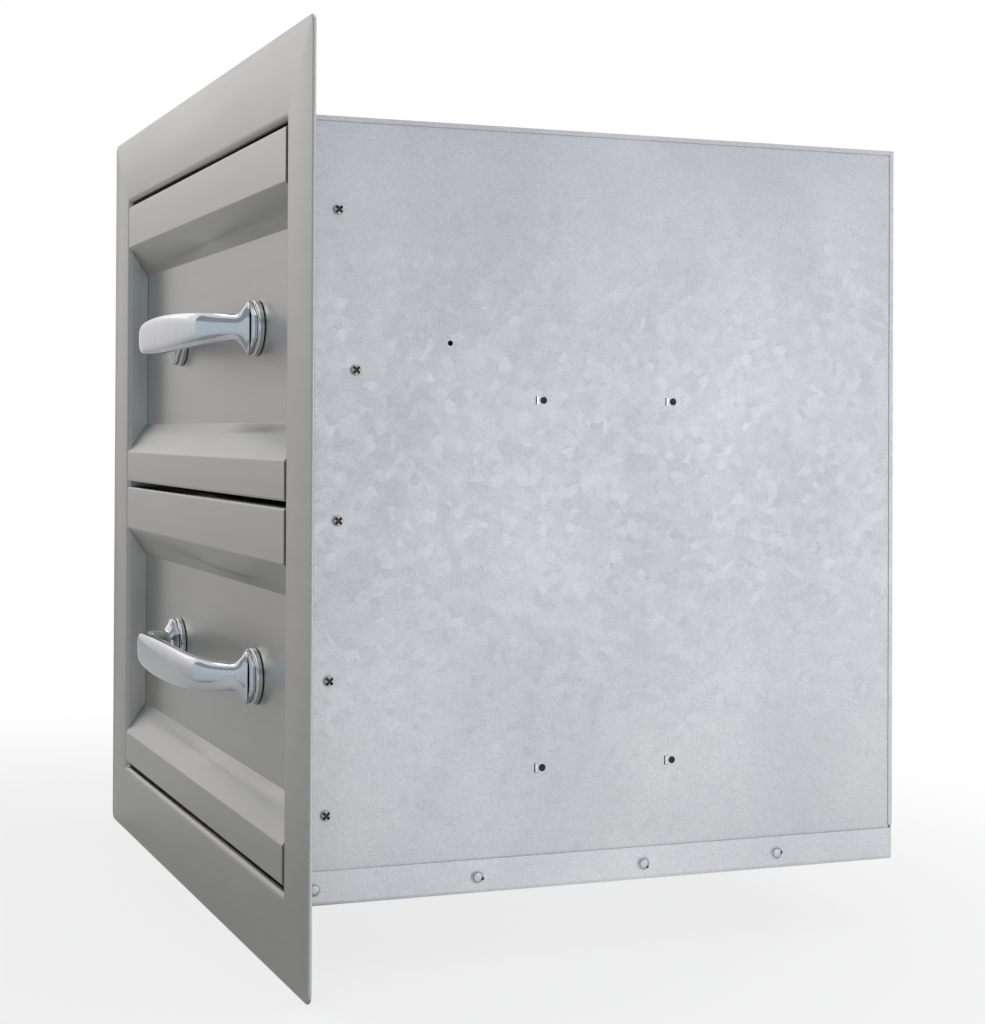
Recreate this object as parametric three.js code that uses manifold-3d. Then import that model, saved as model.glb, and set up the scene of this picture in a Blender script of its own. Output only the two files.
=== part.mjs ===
// A built-in stainless double drawer unit for an outdoor kitchen, in millimetres.
// X runs across the front, Y from the front into the island, Z up.
// Inside the unit's group, zero is the flange's front face in Y and its bottom edge in Z.
// The exported group is shifted so that its origin is the centre of the plane that seats on the island.
import * as THREE from "three";
import { mergeVertices } from "three/addons/utils/BufferGeometryUtils.js";
import Module from "manifold-3d";

// Fits
const fitGap = 0.3;
const cutOverrun = 2;

// Face frame
const flangeWidth = 560;
const flangeHeight = 597;
const flangeCornerRadius = 3;
const sideBorder = 53;
const topBorder = 56.5;
const bottomBorder = 55.1;
const frameSheet = 1.2;
const hemThickness = 2.5;
const hemWidth = 10;
const openingEdgeRadius = 4.5;
const openingCornerRadius = 2.5;
const headReturnDepth = 10;
const sideReturnDepth = 55;
const returnRelief = 14;

// Cabinet box
const boxSheet = 1;
const boxDepth = 447;
const boxDrop = 7.9;
const boxBend = 1.8;
const boxFlange = 14;
const trayFlange = 22;
const trayBend = 2.2;

// Drawer fronts
const bottomReveal = 4.2;
const middleReveal = 4.1;
const topReveal = 3.2;
const sideReveal = 1.3;
const topRail = 35;
const bottomRail = 25.2;
const bevelWidth = 24.2;
const recessDepth = 17.5;
const frontReturnDepth = 23;
const frontBend = 1.6;
const linerInset = 1.6;
const linerAccessRadius = 7;

// Drawer boxes
const drawerLift = 20;
const drawerHeadroom = 32;
const drawerDepth = 405;
const drawerBend = 2.2;
const drawerHem = 10;
const drawerTab = 12;

// Telescopic ball slides, their sections measured from the panel that carries them
const slideLength = 350;
const slideSetback = 60;
const slideTravel = 340;
const slideAxisHeight = 65.4;
const slideThickness = 12.7;
const slideHeight = 35;
const slideSheet = 1.2;
const slideBend = 1;
const ballDiameter = 3.4;
const slideLipClearance = 0.8;
const cabinetLip = 1.6;
const middleLip = 1.4;
const drawerLipReach = 5.8;
const drawerLip = 1.2;
const cageSheet = 0.6;
const cageBend = 0.8;
const cageLength = 168;
const outerCageReach = 9.2;
const innerCageReach = 10;
const outerBallReach = 6.5;
const innerBallReach = 8;
const ballsPerRow = 4;
const slideStudRadius = 2.2;
const slideHolePitch = 96;
const slideHoleSetback = 117.5;
const slideSlitWidth = 2.4;
const slideSlitHeight = 6;
const slideSlitOffset = 4.6;

// Handles
const handleCentres = 212;
const handleLift = 2;
const handleReach = 43.5;
const gripHeight = 28;
const gripThickness = 11;
const neckHeight = 17;
const neckThickness = 10.5;
const neckLength = 8;
const footHeight = 36.5;
const footWidth = 18;
const footThickness = 3;
const footChamfer = 1.2;
const roseHeight = 36;
const roseWidth = 20.5;
const roseThickness = 2.8;
const roseChamfer = 1.2;
const gasketLip = 0.8;
const gasketThickness = 0.8;
const handleScrewRadius = 2;
const handleScrewLength = 16;
const handleScrewHeadRadius = 4;
const handleScrewHeadHeight = 2.4;

// Fasteners of the box
const frameScrewRadius = 1.8;
const frameScrewHeadRadius = 3.8;
const frameScrewHeadHeight = 1.9;
const frameScrewLength = 8;
const rivetHeadRadius = 4.6;
const rivetHeadHeight = 1.3;
const rivetShankRadius = 1.6;
const rivetTailRadius = 2.4;
const rivetTailLength = 2.2;
const spareHoleRadius = 1.8;
const spareHoleSetback = 111;
const spareHoleRise = 36.3;

// Places as shares of the sizes that they follow
const frameScrewHeightShares = [0.098, 0.272, 0.48, 0.677, 0.886];
const frameScrewSetbackShares = [0.5, 0.53, 0.63, 0.84, 0.62];
const rivetSetbackShares = [0.044, 0.293, 0.563, 0.792];

// How far along the neck each flare station is, and how much of the foot's size it still has
const flareStationShares = [
  { along: 0, spread: 0.8 },
  { along: 0.2, spread: 0.42 },
  { along: 0.5, spread: 0.12 },
];
const bowShoulderShare = 0.74;
const gripSquarenessShare = 0.62;
const footSideShare = 0.5;

// Facet counts
const hemSteps = 4;
const roseSides = 16;
const bendSteps = 3;
const cornerSteps = 3;
const holeSides = 12;
const screwSides = 12;
const ballSides = 6;
const ballRings = 4;
const gripSides = 16;
const gripSteps = 11;

// Worked out from the driving dimensions
const openingWidth = flangeWidth - 2 * sideBorder;
const flangeRect = { left: -flangeWidth / 2, right: flangeWidth / 2, bottom: 0, top: flangeHeight };
const opening = {
  left: -openingWidth / 2,
  right: openingWidth / 2,
  bottom: bottomBorder,
  top: flangeHeight - topBorder,
};
const frontHeight = (opening.top - opening.bottom - bottomReveal - middleReveal - topReveal) / 2;
const frontWidth = openingWidth - 2 * sideReveal;
const panelInner = opening.right + frameSheet + fitGap;
const panelOuter = panelInner + boxSheet;
const boxFront = openingEdgeRadius + fitGap;
const cornerRelief = boxBend + boxSheet / 2;
const boxTop = opening.top + frameSheet + fitGap + boxSheet;
const boxBottom = opening.bottom - frameSheet - boxDrop;
const panelBottom = boxBottom + boxSheet + trayBend;
const handleRise = (bottomRail + frontHeight - topRail) / 2 + handleLift;
const drawerHalfWidth = panelInner - slideThickness;
const drawerBottom = drawerLift;
const drawerTop = frontHeight - drawerHeadroom;
const drawerFrontEnd = frontReturnDepth + fitGap;
const drawerRearEnd = drawerFrontEnd + drawerDepth;
const lowerFrontBottom = opening.bottom + bottomReveal;
const upperFrontBottom = lowerFrontBottom + frontHeight + middleReveal;
const cageRestSetback = slideSetback + slideTravel / 4 + (slideLength - slideTravel / 2 - cageLength) / 2;

// Materials, from the photographed colours
const brushedSteel = new THREE.MeshStandardMaterial({ color: 0xb4b2ab, roughness: 0.38, metalness: 1 });
const galvanised = new THREE.MeshStandardMaterial({ color: 0xc3c7cc, roughness: 0.52, metalness: 0.9 });
const drawerSteel = new THREE.MeshStandardMaterial({ color: 0xbdbdb9, roughness: 0.42, metalness: 1 });
const chrome = new THREE.MeshStandardMaterial({ color: 0xe4e8ec, roughness: 0.07, metalness: 1 });
const slideZinc = new THREE.MeshStandardMaterial({ color: 0xb9bec4, roughness: 0.35, metalness: 1 });
const cageBrass = new THREE.MeshStandardMaterial({ color: 0x9c8f6b, roughness: 0.4, metalness: 0.8 });
const gasketRubber = new THREE.MeshStandardMaterial({ color: 0x1d1e1f, roughness: 0.8, metalness: 0 });
const darkScrew = new THREE.MeshStandardMaterial({ color: 0x4c4f48, roughness: 0.5, metalness: 0.9 });

const wasm = await Module();
wasm.setup();

// Turns a closed geometry into a solid, with its faces pointing out
function solidFrom(geometry) {
  const bare = geometry.clone();
  bare.deleteAttribute("normal");
  bare.deleteAttribute("uv");
  const merged = mergeVertices(bare);
  const vertProperties = merged.getAttribute("position").array;
  const triVerts = new Uint32Array(merged.index.array);
  const made = new wasm.Manifold(new wasm.Mesh({ numProp: 3, vertProperties, triVerts }));
  if (made.volume() > 0) {
    return made;
  }
  const turned = triVerts.map((_, i) => triVerts[i - (i % 3) + (2 - (i % 3))]);
  return new wasm.Manifold(new wasm.Mesh({ numProp: 3, vertProperties, triVerts: turned }));
}

function geometryFrom(solid) {
  const mesh = solid.getMesh();
  const geometry = new THREE.BufferGeometry();
  geometry.setAttribute("position", new THREE.BufferAttribute(mesh.vertProperties, 3));
  geometry.setIndex(new THREE.BufferAttribute(mesh.triVerts, 1));
  geometry.computeVertexNormals();
  return geometry;
}

const joined = (first, ...rest) => rest.reduce((whole, piece) => whole.add(piece), first);
const without = (first, ...cuts) => cuts.reduce((whole, cut) => whole.subtract(cut), first);

const ordered = (first, second) => [Math.min(first, second), Math.max(first, second)];

function block(xRange, yRange, zRange) {
  const [width, depth, height] = [xRange, yRange, zRange].map(([low, high]) => high - low);
  const geometry = new THREE.BoxGeometry(width, depth, height);
  geometry.translate(xRange[0] + width / 2, yRange[0] + depth / 2, zRange[0] + height / 2);
  return solidFrom(geometry);
}

// A cylinder or cone between two points
function rod(startRadius, endRadius, start, end, sides) {
  const along = new THREE.Vector3().subVectors(end, start);
  const geometry = new THREE.CylinderGeometry(endRadius, startRadius, along.length(), sides);
  const up = new THREE.Vector3(0, 1, 0);
  geometry.applyQuaternion(new THREE.Quaternion().setFromUnitVectors(up, along.clone().normalize()));
  const middle = start.clone().addScaledVector(along, 1 / 2);
  geometry.translate(middle.x, middle.y, middle.z);
  return solidFrom(geometry);
}

// A straight prism of an outline, its first two axes and its length set by a basis
function prism(outline, length, axes, origin) {
  const shape = new THREE.Shape(outline.map(([u, v]) => new THREE.Vector2(u, v)));
  const geometry = new THREE.ExtrudeGeometry(shape, { depth: length, bevelEnabled: false });
  const place = new THREE.Matrix4().makeBasis(...axes.map((axis) => new THREE.Vector3(...axis)));
  return solidFrom(geometry.applyMatrix4(place.setPosition(origin)));
}

const alongX = (outline, from, to) =>
  prism(outline, to - from, [[0, 1, 0], [0, 0, 1], [1, 0, 0]], new THREE.Vector3(from, 0, 0));
const alongY = (outline, from, to) =>
  prism(outline, to - from, [[1, 0, 0], [0, 0, 1], [0, -1, 0]], new THREE.Vector3(0, to, 0));
const alongZ = (outline, from, to) =>
  prism(outline, to - from, [[1, 0, 0], [0, 1, 0], [0, 0, 1]], new THREE.Vector3(0, 0, from));

// The middle line of a folded sheet: its corners rounded, each point with its left-hand normal
function bentLine(corners, radius) {
  const points = corners.map(([u, v]) => new THREE.Vector2(u, v));
  const leftOf = (along) => new THREE.Vector2(-along.y, along.x);
  const heading = (i) => points[i + 1].clone().sub(points[i]).normalize();
  const line = [{ point: points[0], normal: leftOf(heading(0)) }];
  for (let i = 1; i < points.length - 1; i += 1) {
    const before = heading(i - 1);
    const after = heading(i);
    const turn = Math.atan2(before.cross(after), before.dot(after));
    const side = Math.sign(turn);
    const setback = radius * Math.tan(Math.abs(turn) / 2);
    const start = points[i].clone().addScaledVector(before, -setback);
    const centre = start.clone().addScaledVector(leftOf(before), side * radius);
    for (let step = 0; step <= bendSteps; step += 1) {
      const normal = leftOf(before).rotateAround(new THREE.Vector2(), (turn * step) / bendSteps);
      line.push({ point: centre.clone().addScaledVector(normal, -side * radius), normal });
    }
  }
  line.push({ point: points.at(-1), normal: leftOf(heading(points.length - 2)) });
  return line;
}

const offsetLine = (line, distance) =>
  line.map(({ point, normal }) => point.clone().addScaledVector(normal, distance).toArray());

// The closed section of a folded sheet, from its middle line's corners
function sheetSection(corners, thickness, radius) {
  const line = bentLine(corners, radius);
  return [...offsetLine(line, thickness / 2), ...offsetLine(line, -thickness / 2).reverse()];
}

// One ring of points round a rectangle with rounded corners, at one depth
function rectangleRing(rect, inset, radius, depth) {
  const reach = inset + radius;
  const centres = [
    [rect.right - reach, rect.top - reach],
    [rect.left + reach, rect.top - reach],
    [rect.left + reach, rect.bottom + reach],
    [rect.right - reach, rect.bottom + reach],
  ];
  return centres.flatMap(([x, z], corner) =>
    Array.from({ length: cornerSteps + 1 }, (_, step) => {
      const angle = (Math.PI / 2) * (corner + step / cornerSteps);
      return new THREE.Vector3(x + radius * Math.cos(angle), depth, z + radius * Math.sin(angle));
    }),
  );
}

// A skin over rings with equal counts of points: closed on itself, or capped at both ends
function loft(rings, isLoop) {
  const count = rings[0].length;
  const faces = [];
  const spans = isLoop ? rings.length : rings.length - 1;
  for (let ring = 0; ring < spans; ring += 1) {
    const here = ring * count;
    const next = ((ring + 1) % rings.length) * count;
    for (let i = 0; i < count; i += 1) {
      const j = (i + 1) % count;
      faces.push(here + i, here + j, next + j, here + i, next + j, next + i);
    }
  }
  if (!isLoop) {
    const last = (rings.length - 1) * count;
    for (let i = 1; i < count - 1; i += 1) {
      faces.push(0, i + 1, i, last, last + i, last + i + 1);
    }
  }
  const geometry = new THREE.BufferGeometry().setFromPoints(rings.flat());
  geometry.setIndex(faces);
  return solidFrom(geometry);
}

// Face frame: hemmed flange, folded opening and long side returns that the box screws to
function faceFrame() {
  const hemAngles = Array.from({ length: hemSteps + 1 }, (_, i) => (Math.PI * i) / hemSteps);
  const hemRound = hemThickness / 2;
  const hemRings = hemAngles.map((angle) =>
    rectangleRing(
      flangeRect,
      hemRound - hemRound * Math.sin(angle),
      flangeCornerRadius,
      hemRound - hemRound * Math.cos(angle),
    ),
  );
  const bendAngles = Array.from({ length: bendSteps + 1 }, (_, i) => ((Math.PI / 2) * i) / bendSteps);
  const innerBend = openingEdgeRadius - frameSheet;
  const backBend = bendAngles.map((angle) =>
    rectangleRing(
      opening,
      -openingEdgeRadius + innerBend * Math.sin(angle),
      openingCornerRadius,
      openingEdgeRadius - innerBend * Math.cos(angle),
    ),
  );
  const frontBendRings = bendAngles.map((angle) =>
    rectangleRing(
      opening,
      -openingEdgeRadius * (1 - Math.cos(angle)),
      openingCornerRadius,
      openingEdgeRadius * (1 - Math.sin(angle)),
    ),
  );
  const ring = loft(
    [
      ...hemRings,
      rectangleRing(flangeRect, hemWidth, flangeCornerRadius, hemThickness),
      rectangleRing(flangeRect, hemWidth, flangeCornerRadius, frameSheet),
      ...backBend,
      rectangleRing(opening, -frameSheet, openingCornerRadius, headReturnDepth),
      rectangleRing(opening, 0, openingCornerRadius, headReturnDepth),
      ...frontBendRings,
    ],
    true,
  );
  const returns = [-1, 1].map((side) =>
    block(
      ordered(side * opening.right, side * (opening.right + frameSheet)),
      [openingEdgeRadius, sideReturnDepth],
      [opening.bottom + returnRelief, opening.top - returnRelief],
    ),
  );
  const holes = [-1, 1].flatMap((side) =>
    frameScrewPlaces().map(([y, z]) =>
      sideHole(side, frameScrewRadius + fitGap, opening.right, panelInner, y, z),
    ),
  );
  return without(joined(ring, ...returns), ...holes);
}

// Depth and height of each screw that holds the box to the frame's side returns
function frameScrewPlaces() {
  const height = opening.top - opening.bottom;
  return frameScrewHeightShares.map((share, i) => [
    sideReturnDepth * frameScrewSetbackShares[i],
    opening.bottom + height * share,
  ]);
}

const rivetPlaces = () =>
  rivetSetbackShares.map((share) => [boxDepth * share, boxBottom + trayFlange / 2]);

const slidePlaces = () =>
  [lowerFrontBottom, upperFrontBottom].flatMap((bottom) =>
    [0, slideHolePitch].map((along) => [
      slideSetback + slideHoleSetback + along,
      bottom + slideAxisHeight,
    ]),
  );

// A hole through a side wall, along X
function sideHole(side, radius, near, far, y, z) {
  const start = new THREE.Vector3(side * (near - cutOverrun), y, z);
  const end = new THREE.Vector3(side * (far + cutOverrun), y, z);
  return rod(radius, radius, start, end, holeSides);
}

// Side panel: one sheet folded inward along its top and rear edges, with its holes and slits
function sidePanel(side) {
  const middle = panelOuter - boxSheet / 2;
  const top = boxTop - boxSheet / 2;
  const rear = boxDepth - boxSheet / 2;
  const mirrored = (corners) => corners.map(([x, other]) => [side * x, other]);
  const topFold = mirrored([[middle - boxFlange, top], [middle, top], [middle, panelBottom]]);
  const rearFold = mirrored([
    [middle - boxFlange, rear],
    [middle, rear],
    [middle, boxDepth - cornerRelief - boxFlange],
  ]);
  const wall = alongY(sheetSection(topFold, boxSheet, boxBend), boxFront, boxDepth - cornerRelief);
  const rearWall = alongZ(sheetSection(rearFold, boxSheet, boxBend), panelBottom, boxTop - cornerRelief);
  const hole = (radius) => ([y, z]) => sideHole(side, radius, panelInner, panelOuter, y, z);
  const slit = ([y, z]) => {
    const start = y - slideSlitOffset;
    return block(
      ordered(side * (panelInner - cutOverrun), side * (panelOuter + cutOverrun)),
      [start - slideSlitWidth / 2, start + slideSlitWidth / 2],
      [z - slideSlitHeight / 2, z + slideSlitHeight / 2],
    );
  };
  const spare = [spareHoleSetback, upperFrontBottom + slideAxisHeight + spareHoleRise];
  return without(
    joined(wall, rearWall),
    ...frameScrewPlaces().map(hole(frameScrewRadius + fitGap)),
    ...rivetPlaces().map(hole(rivetShankRadius + fitGap)),
    ...slidePlaces().map(hole(slideStudRadius + fitGap)),
    ...slidePlaces().map(slit),
    hole(spareHoleRadius)(spare),
  );
}

// Top panel: a flat sheet on the side panels' flanges
function topPanel() {
  return block(
    [-panelOuter + fitGap, panelOuter - fitGap],
    [boxFront, boxDepth],
    [boxTop + fitGap, boxTop + fitGap + boxSheet],
  );
}

// Back panel: a flat sheet on the side panels' rear flanges
function backPanel() {
  return block(
    [-panelOuter + fitGap, panelOuter - fitGap],
    [boxDepth + fitGap, boxDepth + fitGap + boxSheet],
    [panelBottom, boxTop],
  );
}

// Bottom tray: folded up outside the side panels, with the pull rivets that hold it to them
function bottomTray() {
  const middle = panelOuter + fitGap + boxSheet / 2;
  const floor = boxBottom + boxSheet / 2;
  const top = boxBottom + trayFlange;
  const corners = [[-middle, top], [-middle, floor], [middle, floor], [middle, top]];
  const tray = alongY(sheetSection(corners, boxSheet, trayBend), boxFront, boxDepth);
  const rivets = [-1, 1].flatMap((side) => rivetPlaces().map(([y, z]) => rivet(side, y, z)));
  const dimples = [-1, 1].flatMap((side) =>
    rivetPlaces().map(([y, z]) => {
      const face = panelOuter + fitGap + boxSheet;
      return sideHole(side, rivetShankRadius, face + cutOverrun, face + rivetHeadHeight, y, z);
    }),
  );
  return without(joined(tray, ...rivets), ...dimples);
}

// A pull rivet along X: low domed head outside the tray, shank, and the set tail inside the panel
function rivet(side, y, z) {
  const at = (x) => new THREE.Vector3(side * x, y, z);
  const face = panelOuter + fitGap + boxSheet;
  const tailStart = panelInner - fitGap;
  const crown = face + rivetHeadHeight;
  return joined(
    rod(rivetHeadRadius, rivetHeadRadius / 2, at(face - boxSheet / 2), at(crown), screwSides),
    rod(rivetShankRadius, rivetShankRadius, at(tailStart - rivetTailLength / 2), at(face), screwSides),
    rod(rivetTailRadius, rivetShankRadius, at(tailStart), at(tailStart - rivetTailLength), screwSides),
  );
}

// A screw along X that holds the box to one side return of the frame
function frameScrew(side, y, z) {
  const at = (x) => new THREE.Vector3(side * x, y, z);
  const seat = panelOuter + fitGap;
  const rim = seat + frameScrewHeadHeight / 2;
  return joined(
    rod(frameScrewHeadRadius, frameScrewHeadRadius, at(seat), at(rim), screwSides),
    rod(frameScrewHeadRadius, frameScrewRadius, at(rim), at(seat + frameScrewHeadHeight), screwSides),
    rod(frameScrewRadius, frameScrewRadius / 2, at(rim), at(seat - frameScrewLength), screwSides),
  );
}

// Drawer front: one sheet folded along its rails, bevels and recessed panel
function frontCorners() {
  const skin = frameSheet / 2;
  return [
    [frontReturnDepth, frontHeight - skin],
    [skin, frontHeight - skin],
    [skin, frontHeight - topRail],
    [recessDepth + skin, frontHeight - topRail - bevelWidth],
    [recessDepth + skin, bottomRail + bevelWidth],
    [skin, bottomRail],
    [skin, skin],
    [frontReturnDepth, skin],
  ];
}

function handleScrewHoles(radius, from, to) {
  return [-1, 1].map((side) => {
    const at = (y) => new THREE.Vector3((side * handleCentres) / 2, y, handleRise);
    return rod(radius, radius, at(from - cutOverrun), at(to + cutOverrun), holeSides);
  });
}

function drawerFront() {
  const skin = alongX(
    sheetSection(frontCorners(), frameSheet, frontBend),
    -frontWidth / 2,
    frontWidth / 2,
  );
  const holes = handleScrewHoles(handleScrewRadius + fitGap, recessDepth, recessDepth + frameSheet);
  return without(skin, ...holes);
}

// Liner behind the front: a flat plate whose folded ends close the hollow rails
function frontLiner() {
  const skin = frameSheet / 2;
  const reach = frontWidth / 2 - linerInset;
  const inside = offsetLine(bentLine(frontCorners(), frontBend), skin + fitGap);
  const ends = [-1, 1].map((side) => {
    return alongX(inside, ...ordered(side * reach, side * (reach - frameSheet)));
  });
  const plate = block(
    [-reach, reach],
    [frontReturnDepth - frameSheet, frontReturnDepth],
    [frameSheet + fitGap, frontHeight - frameSheet - fitGap],
  );
  const access = handleScrewHoles(linerAccessRadius, frontReturnDepth - frameSheet, frontReturnDepth);
  return without(joined(plate, ...ends), ...access);
}

// Drawer body: floor and sides in one folded sheet, top edges turned in, tabs that seat on the liner
function drawerBody() {
  const wall = drawerHalfWidth - boxSheet / 2;
  const top = drawerTop - boxSheet / 2;
  const floor = drawerBottom + boxSheet / 2;
  const corners = [
    [-wall + drawerHem, top],
    [-wall, top],
    [-wall, floor],
    [wall, floor],
    [wall, top],
    [wall - drawerHem, top],
  ];
  const shell = alongY(sheetSection(corners, boxSheet, drawerBend), drawerFrontEnd, drawerRearEnd);
  const tabs = [-1, 1].map((side) => {
    return block(
      ordered(side * wall, side * (wall - drawerTab)),
      [drawerFrontEnd, drawerFrontEnd + boxSheet],
      [drawerBottom + drawerBend, drawerTop - drawerBend],
    );
  });
  const floorTab = block(
    [-wall + drawerTab, wall - drawerTab],
    [drawerFrontEnd, drawerFrontEnd + boxSheet],
    [floor, drawerBottom + drawerTab],
  );
  const studs = [-1, 1].flatMap((side) =>
    [0, slideHolePitch].map((along) => {
      const y = slideSetback + slideHoleSetback + along;
      const at = (x) => new THREE.Vector3(side * x, y, slideAxisHeight);
      const seat = drawerHalfWidth + fitGap + slideSheet;
      return rod(slideStudRadius, slideStudRadius, at(wall), at(seat), screwSides);
    }),
  );
  return joined(shell, ...tabs, floorTab, ...studs);
}

// Drawer back: a sheet with its top and bottom edges folded forward, seated inside the body
function drawerBack() {
  const rear = drawerRearEnd - boxSheet / 2;
  const top = drawerTop - boxSheet - fitGap - boxSheet / 2;
  const floor = drawerBottom + boxSheet + fitGap + boxSheet / 2;
  const corners = [
    [rear - drawerTab, top],
    [rear, top],
    [rear, floor],
    [rear - drawerTab, floor],
  ];
  const reach = drawerHalfWidth - boxSheet - drawerBend;
  return alongX(sheetSection(corners, boxSheet, drawerBend), -reach, reach);
}

// Sections of the slide members: distance from the side panel, and height from the slide's axis
function slideSections() {
  const half = slideSheet / 2;
  const race = ballDiameter + 2 * fitGap;
  const cabinetFlange = slideHeight / 2 - half;
  const middleFlange = cabinetFlange - slideSheet - race;
  const drawerFlange = middleFlange - slideSheet - race;
  const cabinetWeb = fitGap + half;
  const outerCageWeb = cabinetWeb + half + fitGap + cageSheet / 2;
  const middleWeb = outerCageWeb + cageSheet / 2 + fitGap + half;
  const innerCageWeb = middleWeb + half + fitGap + cageSheet / 2;
  const drawerWeb = slideThickness - fitGap - half;
  const lipReach = slideThickness - slideLipClearance - half;
  const channel = (web, flange, reach, lip) => [
    [reach, flange + lip],
    [reach, flange],
    [web, flange],
    [web, -flange],
    [reach, -flange],
    [reach, -flange - lip],
  ];
  const strip = (web, height, reach) => [
    [reach, height],
    [web, height],
    [web, -height],
    [reach, -height],
  ];
  const outerRace = cabinetFlange - half - race / 2;
  const innerRace = middleFlange - half - race / 2;
  return {
    cabinet: channel(cabinetWeb, cabinetFlange, lipReach, -cabinetLip),
    middle: channel(middleWeb, middleFlange, lipReach, -middleLip),
    drawer: channel(drawerWeb, drawerFlange, drawerLipReach, drawerLip),
    outerCage: strip(outerCageWeb, outerRace, outerCageReach),
    innerCage: strip(innerCageWeb, innerRace, innerCageReach),
    outerRace,
    innerRace,
  };
}

const fromPanel = (side, corners) => corners.map(([u, v]) => [side * (panelInner - u), v]);

function slideMember(side, corners) {
  const section = sheetSection(fromPanel(side, corners), slideSheet, slideBend);
  return alongY(section, slideSetback, slideSetback + slideLength);
}

// Cabinet member, with the studs and hooks that pass through the side panel
function cabinetMember(side) {
  const web = panelInner - fitGap - slideSheet / 2;
  const studs = [0, slideHolePitch].map((along) => {
    const at = (x) => new THREE.Vector3(side * x, slideSetback + slideHoleSetback + along, 0);
    return rod(slideStudRadius, slideStudRadius, at(web), at(panelOuter - boxSheet / 2), screwSides);
  });
  const hooks = [0, slideHolePitch].map((along) => {
    const y = slideSetback + slideHoleSetback + along - slideSlitOffset;
    return block(
      ordered(side * web, side * panelOuter),
      [y - slideSlitWidth / 2 + fitGap, y + slideSlitWidth / 2 - fitGap],
      [-slideSlitHeight / 2 + fitGap, slideSlitHeight / 2 - fitGap],
    );
  });
  return joined(slideMember(side, slideSections().cabinet), ...studs, ...hooks);
}

// Drawer member, with clearance holes over the drawer body's studs
function drawerMember(side) {
  const holes = [0, slideHolePitch].map((along) => {
    const y = slideSetback + slideHoleSetback + along;
    const far = panelInner;
    return sideHole(side, slideStudRadius + fitGap, drawerHalfWidth + fitGap, far, y, 0);
  });
  return without(slideMember(side, slideSections().drawer), ...holes);
}

// Ball cage: a thin folded strip between two members, with its two rows of balls
function ballCage(side, corners, race, ballReach) {
  const section = sheetSection(fromPanel(side, corners), cageSheet, cageBend);
  const strip = alongY(section, cageRestSetback, cageRestSetback + cageLength);
  const pitch = cageLength / ballsPerRow;
  const balls = [-race, race].flatMap((z) =>
    Array.from({ length: ballsPerRow }, (_, i) => {
      const ball = new THREE.SphereGeometry(ballDiameter / 2, ballSides, ballRings);
      ball.rotateX(Math.PI / 2);
      ball.translate(side * (panelInner - ballReach), cageRestSetback + pitch * (i + 1 / 2), z);
      return solidFrom(ball);
    }),
  );
  return joined(strip, ...balls);
}

// A plate of the handle's foot: its outline tapers in at the front edge by a chamfer
function footPlate(outline, front, back, chamfer) {
  const ring = (shrink, y) => outline(shrink).map(([x, z]) => new THREE.Vector3(x, y, z));
  return loft([ring(chamfer, front), ring(0, front + chamfer), ring(0, back)], false);
}

// Six-sided outline, pointed at its top and bottom
function hexOutline(shrink) {
  const x = footWidth / 2 - shrink;
  const tip = footHeight / 2 - shrink;
  const shoulder = tip * footSideShare;
  return [[0, tip], [-x, shoulder], [-x, -shoulder], [0, -tip], [x, -shoulder], [x, shoulder]];
}

// Oval outline that grows from the rose's own size by a lip
const ovalOutline = (lip) => (shrink) =>
  Array.from({ length: roseSides }, (_, i) => {
    const angle = (2 * Math.PI * (i + 1 / 2)) / roseSides;
    const grow = lip - shrink;
    return [(roseWidth / 2 + grow) * Math.cos(angle), (roseHeight / 2 + grow) * Math.sin(angle)];
  });

// Stack of the handle's foot, from the recessed panel forward
const gasketBack = recessDepth - fitGap;
const roseBack = gasketBack - gasketThickness - fitGap;
const footBack = roseBack - roseThickness - fitGap;
const footFront = footBack - footThickness;

function boredForScrew(plate) {
  const at = (y) => new THREE.Vector3(0, y, 0);
  const bore = handleScrewRadius + fitGap;
  return without(plate, rod(bore, bore, at(footFront), at(recessDepth), holeSides));
}

// Handle rose: an oval base plate between the handle's foot and its gasket
const handleRose = () =>
  boredForScrew(footPlate(ovalOutline(0), roseBack - roseThickness, roseBack, roseChamfer));

// Thin gasket between the rose and the recessed panel
const handleGasket = () =>
  boredForScrew(footPlate(ovalOutline(gasketLip), gasketBack - gasketThickness, gasketBack, fitGap));

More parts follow.
